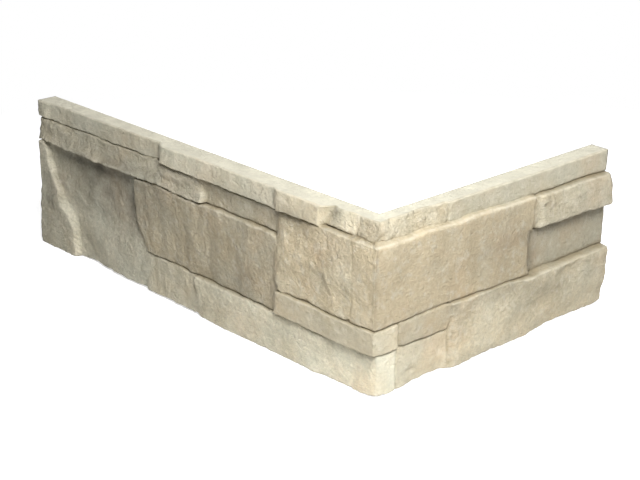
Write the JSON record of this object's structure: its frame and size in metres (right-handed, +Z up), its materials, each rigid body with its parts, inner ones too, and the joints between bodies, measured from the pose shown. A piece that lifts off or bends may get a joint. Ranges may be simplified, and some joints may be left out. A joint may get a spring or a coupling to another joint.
{
  "type": "stone veneer corner",
  "caption": "L-shaped cast-stone veneer corner with mock ledge stones on its outer faces and a flat back, bedded with mortar on the outside corner of a wall.",
  "frame": {"origin": "inside corner of the two back faces, at the base, where the edge of the wall comes", "axes": "+Z up; the long leg runs along -X and faces -Y; the short leg runs along +Y and faces +X"},
  "size_m": [0.3224, 0.2064, 0.1],
  "materials": {
    "cast_stone": "split-face cast concrete, matt, cream to grey-beige"
  },
  "bodies": {
    "root": {"veneer_corner": "cast_stone"}
  },
  "joints": []
}
